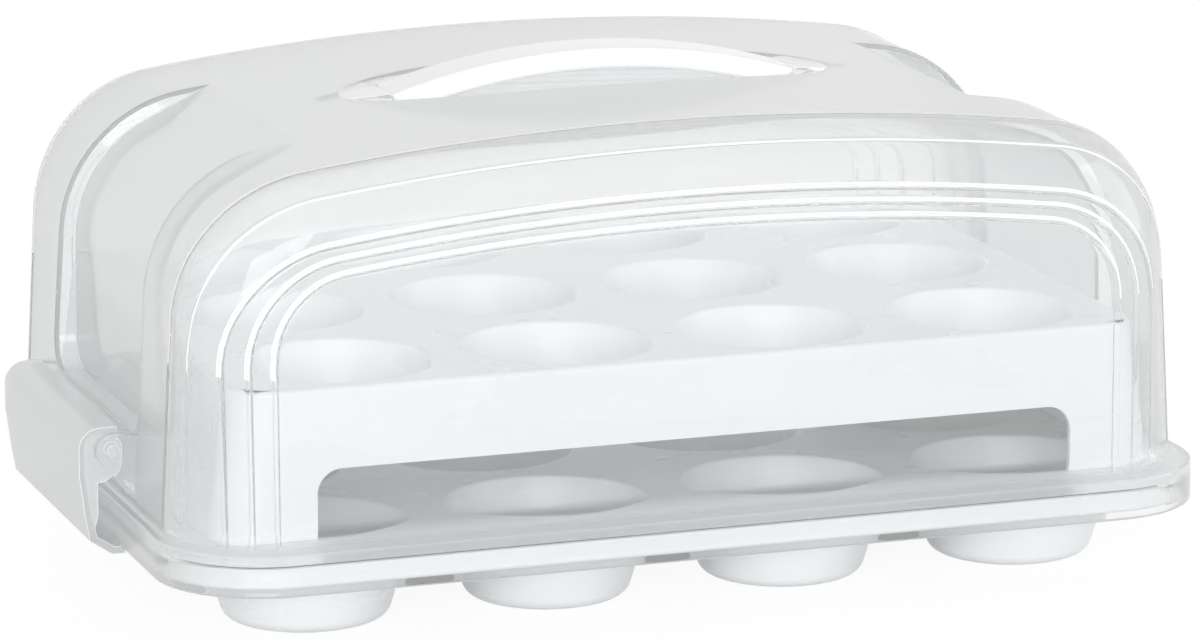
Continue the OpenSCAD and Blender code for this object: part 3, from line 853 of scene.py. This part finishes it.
def cup_profiles(rim_r, floor_r, depth, deck_z, wall, lip, under_lip):
    """Radius and height along a cup's inside and outside, from the deck to the floor."""
    side = math.atan2(depth, rim_r + wall - floor_r)
    degrees = math.degrees(side)
    bend_x = floor_r - CUP_FILLET * math.tan(side / 2)
    bend_z = deck_z - depth + CUP_FILLET

    def skin(corner_x, corner_z, rounding, fillet):
        centre = corner_x + rounding * math.tan(side / 2)
        rim = arc(centre, corner_z - rounding, rounding, 90, 90 + degrees, 5)
        foot = arc(bend_x, bend_z, fillet, degrees - 90, -90, 6)
        return rim + foot + [(bend_x * 0.6, foot[-1][1]), (bend_x * 0.25, foot[-1][1])]

    inside = skin(rim_r + wall - wall / math.sin(side), deck_z, lip, CUP_FILLET - wall)
    outside = skin(rim_r + wall - wall / math.tan(side), deck_z - wall, under_lip, CUP_FILLET)
    return inside, outside


def side_point(side, s, half_x, half_y):
    """Point on a rectangle: s runs from -1 to 1 along a side, 0 the right one, and on counter-clockwise."""
    return ((half_x, s * half_y), (-s * half_x, half_y), (-half_x, -s * half_y), (s * half_x, -half_y))[side]


def cell_edge(i, half_x, half_y):
    """Point i round the edge of a cup's cell, counter-clockwise from its front right corner."""
    side, step = divmod(i, CELL_STEPS)
    return side_point(side, 2 * step / CELL_STEPS - 1, half_x, half_y)


def rim_point(side, s, half_x, half_y, r):
    """Point and outward direction on a tray's rounded outline, its side and s as in side_point."""
    reach, half = (half_x, half_y - r) if side % 2 == 0 else (half_y, half_x - r)
    run = abs(s) * (half + r * math.pi / 4)
    turn = max(run - half, 0.0) / r
    out, along = reach - r + r * math.cos(turn), min(run, half) + r * math.sin(turn)
    nx, ny = math.cos(turn), math.sin(turn)
    if s < 0:
        along, ny = -along, -ny
    for _ in range(side):
        out, along, nx, ny = -along, out, -ny, nx
    return (out, along), (nx, ny)


def tray_mesh(pitch, deck_y, profiles, rim, outline_at):
    """A closed tray: cups in their cells out to deck_y, and a rim of (inset, z) points on outline_at(z)."""
    bm = bmesh.new()
    half_x, half_y = pitch / 2, ROW_PITCH / 2
    count = 4 * CELL_STEPS

    def loop(points):
        return [bm.verts.new(p) for p in points]

    def bridge(a, b):
        for k in range(len(a)):
            n = (k + 1) % len(a)
            bm.faces.new((a[k], a[n], b[n], b[k]))

    def cells(profile, deck_z):
        for i in range(COLS):
            for j in range(ROWS):
                cx, cy = (i - (COLS - 1) / 2) * pitch, (j - (ROWS - 1) / 2) * ROW_PITCH
                edge = [cell_edge(k, half_x, half_y) for k in range(count)]
                last = loop((cx + x, min(max(cy + y, -deck_y), deck_y), deck_z) for x, y in edge)
                for r, z in profile:
                    angles = (2 * math.pi * k / count - math.pi / 4 for k in range(count))
                    ring = loop((cx + r * math.cos(a), cy + r * math.sin(a), z) for a in angles)
                    bridge(last, ring)
                    last = ring
                bm.faces.new(last)

    def deck_edge(z):
        x_end, y_end = COLS * half_x, ROWS * half_y
        points = []
        for side in range(4):
            steps = CELL_STEPS * (ROWS if side % 2 == 0 else COLS)
            for k in range(steps):
                s = 2 * k / steps - 1
                x, y = side_point(side, s, x_end, y_end)
                points.append((side, s, (x, min(max(y, -deck_y), deck_y), z)))
        return points

    inside, outside = profiles
    top_z, under_z = rim[0][1], rim[-1][1]
    cells(inside, top_z)
    cells(outside, under_z)
    edge = deck_edge(top_z)
    last = loop(p for _, _, p in edge)
    for inset, z in rim:
        ring = []
        for side, s, _ in edge:
            (x, y), (nx, ny) = rim_point(side, s, *outline_at(z))
            ring.append((x - nx * inset, y - ny * inset, z))
        ring = loop(ring)
        bridge(last, ring)
        last = ring
    bridge(last, loop(p for _, _, p in deck_edge(under_z)))
    bmesh.ops.remove_doubles(bm, verts=bm.verts, dist=1e-3)
    bmesh.ops.recalc_face_normals(bm, faces=bm.faces)
    bmesh.ops.scale(bm, vec=(MM, MM, MM), verts=bm.verts)
    mesh = bpy.data.meshes.new("tray")
    bm.to_mesh(mesh)
    bm.free()
    return mesh


def rim_profile(top_z, foot_z, wall, edge, lip):
    """Inset and height over a turned-down rim: deck, outer face, lower edge, inner face, underside."""
    over = arc(edge, top_z - edge, edge, 90, 180, 6)
    under = arc(wall / 2, foot_z + wall / 2, wall / 2, 180, 360, 6)
    inner = arc(wall + lip, top_z - wall - lip, lip, 180, 90, 5)
    return over + under + inner


def cut_windows(mesh, half_y):
    """Cuts the window through a tray's front and back walls."""
    r, top, half, spare = WINDOW_R, TRAY_Z + WINDOW_H, WINDOW_W / 2, 5.0
    corner = arc(half - r, top - r, r, 0, 90, 8)
    far_corner = [(-x, z) for x, z in reversed(corner)]
    shape = [(half, TRAY_Z - spare)] + corner + far_corner + [(-half, TRAY_Z - spare)]
    verts, faces = prism(shape, -half_y - spare, half_y + spare, 0)
    block = bpy.data.meshes.new("window")
    block.from_pydata([tuple(c * MM for c in v) for v in verts], [], faces)
    cutter = bpy.data.objects.new("window", block)
    work = bpy.data.objects.new("work", mesh)
    for obj in (cutter, work):
        bpy.context.scene.collection.objects.link(obj)
    cut = work.modifiers.new("cut", "BOOLEAN")
    cut.operation, cut.solver, cut.object = "DIFFERENCE", "EXACT", cutter
    done = bpy.data.meshes.new_from_object(work.evaluated_get(bpy.context.evaluated_depsgraph_get()))
    for obj in (cutter, work):
        bpy.data.objects.remove(obj)
    return done


# Base tray: deck at TRAY_Z, cups down to the table
BASE_X, BASE_Y, BASE_R, BASE_T, BASE_RIM = 171.1, 126.2, 33.5, 2.2, 7.0
LOW_PITCH, LOW_CUP_R, LOW_FLOOR_R = 80.0, 32.8, 26.0
# Upper tray: ends lean in by TIER_LEAN on their way up
TIER_X, TIER_Y, TIER_R, TIER_T, TIER_LEAN, TIER_H = 158.0, 110.6, 14.0, 2.0, 7.0, 51.4
TOP_PITCH, TOP_CUP_R, TOP_FLOOR_R, TOP_CUP_DEPTH = 72.7, 31.0, 27.5, 17.0
WINDOW_W, WINDOW_H, WINDOW_R = 252.0, 25.7, 8.0
TIER_Z = TRAY_Z + TIER_H


def base_outline(_):
    return BASE_X, BASE_Y, BASE_R


def tier_outline(z):
    return TIER_X - TIER_LEAN * (z - TRAY_Z) / TIER_H, TIER_Y, TIER_R


base_mesh = tray_mesh(
    LOW_PITCH,
    BASE_Y - 12.0,
    cup_profiles(LOW_CUP_R, LOW_FLOOR_R, TRAY_Z, TRAY_Z, BASE_T, 1.2, 1.2),
    rim_profile(TRAY_Z, TRAY_Z - BASE_RIM, BASE_T, 1.6, 1.2),
    base_outline,
)
base = piece_of("base_tray_cups", finished(base_mesh, 0.3), [tray_white], "base")
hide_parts("base_tray")

tier_mesh = tray_mesh(
    TOP_PITCH,
    TIER_Y - 2.4,
    cup_profiles(TOP_CUP_R, TOP_FLOOR_R, TOP_CUP_DEPTH, TIER_Z, TIER_T, 1.2, 0.3),
    rim_profile(TIER_Z, TRAY_Z, TIER_T, 2.0, 0.3),
    tier_outline,
)
tier = piece_of("upper_tray_cups", finished(cut_windows(tier_mesh, TIER_Y), 0.45, 3), [tray_white], "tier")
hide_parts("upper_tray")

# Handle: an arched strap with rounded edges, slanted ends and a tongue at each end

HANDLE_R, HANDLE_TOP, HANDLE_T, HANDLE_W, HANDLE_EDGE = 226.0, 162.4, 7.1, 20.0, 1.6
TONGUE_L, TONGUE_W, TONGUE_T = 8.0, 12.0, 3.0


def strap_tree():
    """Geometry nodes: a bar of rounded section swept along an arc, its ends slanted outwards."""
    tree = bpy.data.node_groups.new("arched_strap", "GeometryNodeTree")
    face = tree.interface
    face.new_socket("Geometry", in_out="OUTPUT", socket_type="NodeSocketGeometry")
    for name in ("Radius", "Half angle", "Width", "Thickness", "Rounding", "Slant", "Centre height"):
        face.new_socket(name, in_out="INPUT", socket_type="NodeSocketFloat")
    face.new_socket("Steps", in_out="INPUT", socket_type="NodeSocketInt")
    face.new_socket("Material", in_out="INPUT", socket_type="NodeSocketMaterial")
    nodes, links = tree.nodes, tree.links
    given = nodes.new("NodeGroupInput").outputs
    out = nodes.new("NodeGroupOutput")

    def math_node(operation, a, b):
        node = nodes.new("ShaderNodeMath")
        node.operation = operation
        for socket, value in zip(node.inputs, (a, b)):
            if isinstance(value, float):
                socket.default_value = value
            else:
                links.new(value, socket)
        return node.outputs[0]

    path = nodes.new("GeometryNodeCurveArc")
    path.mode = "RADIUS"
    middle = math_node("SUBTRACT", given["Radius"], math_node("MULTIPLY", given["Thickness"], 0.5))
    links.new(given["Steps"], path.inputs["Resolution"])
    links.new(middle, path.inputs["Radius"])
    links.new(math_node("SUBTRACT", math.pi / 2, given["Half angle"]), path.inputs["Start Angle"])
    links.new(math_node("MULTIPLY", given["Half angle"], 2.0), path.inputs["Sweep Angle"])
    section = nodes.new("GeometryNodeCurvePrimitiveQuadrilateral")
    links.new(given["Thickness"], section.inputs["Width"])
    links.new(given["Width"], section.inputs["Height"])
    rounded = nodes.new("GeometryNodeFilletCurve")
    rounded.mode = "POLY"
    rounded.inputs["Count"].default_value = 5
    links.new(section.outputs[0], rounded.inputs["Curve"])
    links.new(given["Rounding"], rounded.inputs["Radius"])
    bar = nodes.new("GeometryNodeCurveToMesh")
    bar.inputs["Fill Caps"].default_value = True
    links.new(path.outputs[0], bar.inputs["Curve"])
    links.new(rounded.outputs[0], bar.inputs["Profile Curve"])
    upright = nodes.new("GeometryNodeTransform")
    upright.inputs["Rotation"].default_value = (math.pi / 2, 0.0, 0.0)
    links.new(bar.outputs[0], upright.inputs["Geometry"])

    place = nodes.new("GeometryNodeInputPosition")
    length = nodes.new("ShaderNodeVectorMath")
    length.operation = "LENGTH"
    flat = nodes.new("ShaderNodeVectorMath")
    flat.operation = "MULTIPLY"
    flat.inputs[1].default_value = (1.0, 0.0, 1.0)
    links.new(place.outputs[0], flat.inputs[0])
    links.new(flat.outputs[0], length.inputs[0])
    parts = nodes.new("ShaderNodeSeparateXYZ")
    links.new(place.outputs[0], parts.inputs[0])
    depth = math_node("SUBTRACT", length.outputs["Value"], middle)
    turn = math_node("MULTIPLY", math_node("MULTIPLY", depth, parts.outputs["X"]), given["Slant"])
    turned = nodes.new("ShaderNodeVectorRotate")
    turned.rotation_type = "Y_AXIS"
    links.new(place.outputs[0], turned.inputs["Vector"])
    links.new(turn, turned.inputs["Angle"])
    slanted = nodes.new("GeometryNodeSetPosition")
    links.new(upright.outputs[0], slanted.inputs["Geometry"])
    links.new(turned.outputs[0], slanted.inputs["Position"])
    lift = nodes.new("ShaderNodeCombineXYZ")
    links.new(given["Centre height"], lift.inputs["Z"])
    lifted = nodes.new("GeometryNodeTransform")
    links.new(slanted.outputs[0], lifted.inputs["Geometry"])
    links.new(lift.outputs[0], lifted.inputs["Translation"])
    real = nodes.new("GeometryNodeRealizeInstances")
    coat = nodes.new("GeometryNodeSetMaterial")
    links.new(lifted.outputs[0], real.inputs[0])
    links.new(real.outputs[0], coat.inputs["Geometry"])
    links.new(given["Material"], coat.inputs["Material"])
    links.new(coat.outputs[0], out.inputs[0])
    return tree


def grown(tree, **values):
    """The plain mesh that a geometry-nodes tree makes from its named inputs."""
    holder = bpy.data.objects.new("work", bpy.data.meshes.new("work"))
    bpy.context.scene.collection.objects.link(holder)
    maker = holder.modifiers.new("maker", "NODES")
    maker.node_group = tree
    sockets = {item.name: item.identifier for item in tree.interface.items_tree if item.in_out == "INPUT"}
    for name, value in values.items():
        maker[sockets[name.replace("_", " ")]] = value
    done = bpy.data.meshes.new_from_object(holder.evaluated_get(bpy.context.evaluated_depsgraph_get()))
    bpy.data.objects.remove(holder)
    return done


def strap_mesh():
    """The handle's strap, the slanted ends where the solid has them."""
    bottom_r = HANDLE_R - HANDLE_T
    drop_x, drop_z = math.sin(HANDLE_SLANT), math.cos(HANDLE_SLANT)
    centre = HANDLE_TOP - HANDLE_R
    lean = HANDLE_END_X * drop_x + (HANDLE_END_Z - centre) * drop_z
    reach = lean - math.sqrt(lean * lean - (HANDLE_R**2 - bottom_r**2))
    top_angle = math.asin(HANDLE_END_X / HANDLE_R)
    bottom_angle = math.asin((HANDLE_END_X - reach * drop_x) / bottom_r)
    half_angle = (top_angle + bottom_angle) / 2
    end_x = (HANDLE_R - HANDLE_T / 2) * math.sin(half_angle)
    return grown(
        strap_tree(),
        Radius=HANDLE_R * MM,
        Half_angle=half_angle,
        Width=HANDLE_W * MM,
        Thickness=HANDLE_T * MM,
        Rounding=HANDLE_EDGE * MM,
        Slant=(top_angle - bottom_angle) / (HANDLE_T * MM * end_x * MM),
        Centre_height=centre * MM,
        Steps=65,
        Material=handle_white,
    )


def tongue():
    mid = HANDLE_END_Z - HANDLE_T / 2
    x0, x1, z0, z1 = HANDLE_END_X - 6.0, HANDLE_END_X + TONGUE_L, mid - TONGUE_T / 2, mid + TONGUE_T / 2
    return prism([(x0, z0), (x1, z0), (x1, z1), (x0, z1)], -TONGUE_W / 2, TONGUE_W / 2, 0.3)


def handle_mesh():
    """The strap and its two tongues in one mesh."""
    tongues = joined([tongue(), flipped_x(tongue())])
    bars = bpy.data.meshes.new("tongues")
    bars.from_pydata([tuple(c * MM for c in v) for v in tongues[0]], [], tongues[1])
    bm = bmesh.new()
    bm.from_mesh(strap_mesh())
    bmesh.ops.remove_doubles(bm, verts=bm.verts, dist=1e-7)
    bm.from_mesh(bars)
    bmesh.ops.recalc_face_normals(bm, faces=bm.faces)
    whole = bpy.data.meshes.new("handle")
    bm.to_mesh(whole)
    bm.free()
    return whole


handle = piece_of("carrying_handle", finished(handle_mesh(), 0.35), [handle_white], "dome")
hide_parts("handle")

shell_verts, shell_faces, highlight_faces = dome_mesh()
parts = [(shell_verts, shell_faces)]
lug = handle_lug()
parts += [lug, flipped_x(lug)]
for side in (-1, 1):
    lug = hinge_lug(side)
    parts += [lug, flipped_x(lug)]
# the marked faces take the dome's painted highlight material
dome = new_piece("dome_shell", *joined(parts), dome_clear, "dome", dome_painted_highlight, highlight_faces)
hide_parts("dome_lid")

for end in ("left", "right"):
    # the clips' rounded edges go in slot 1, the painted highlight
    mesh = softened("clip_" + end, 0.6, 3, 1)
    clip = piece_of(end + "_end_clip", mesh, [clip_clear, clip_painted_highlight], end + "_clip")
    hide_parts("clip_" + end)

make_camera()
make_world()
make_floor()
front_lamp = area_light("front", (-0.9, -2.5, 0.75), (0, 0, 0.05), 2.2, 41.0, 1.0)
front_lamp.visible_glossy = False  # a soft front light without its own patch in the dome
area_light("side", (2.4, -0.9, 0.8), (0, 0, 0.08), 1.6, 12.0)
area_light("top", (0.0, 0.4, 2.4), (0, 0, 0.1), 2.0, 3.0)
back_lamp = area_light("back", (0.4, 2.4, 0.4), (0, 0, 0.04), 1.8, 60.0, 0.3)  # low, through the back window
back_lamp.visible_glossy = False
back_lamp.visible_transmission = False

bpy.context.scene.view_settings.view_transform = "Standard"
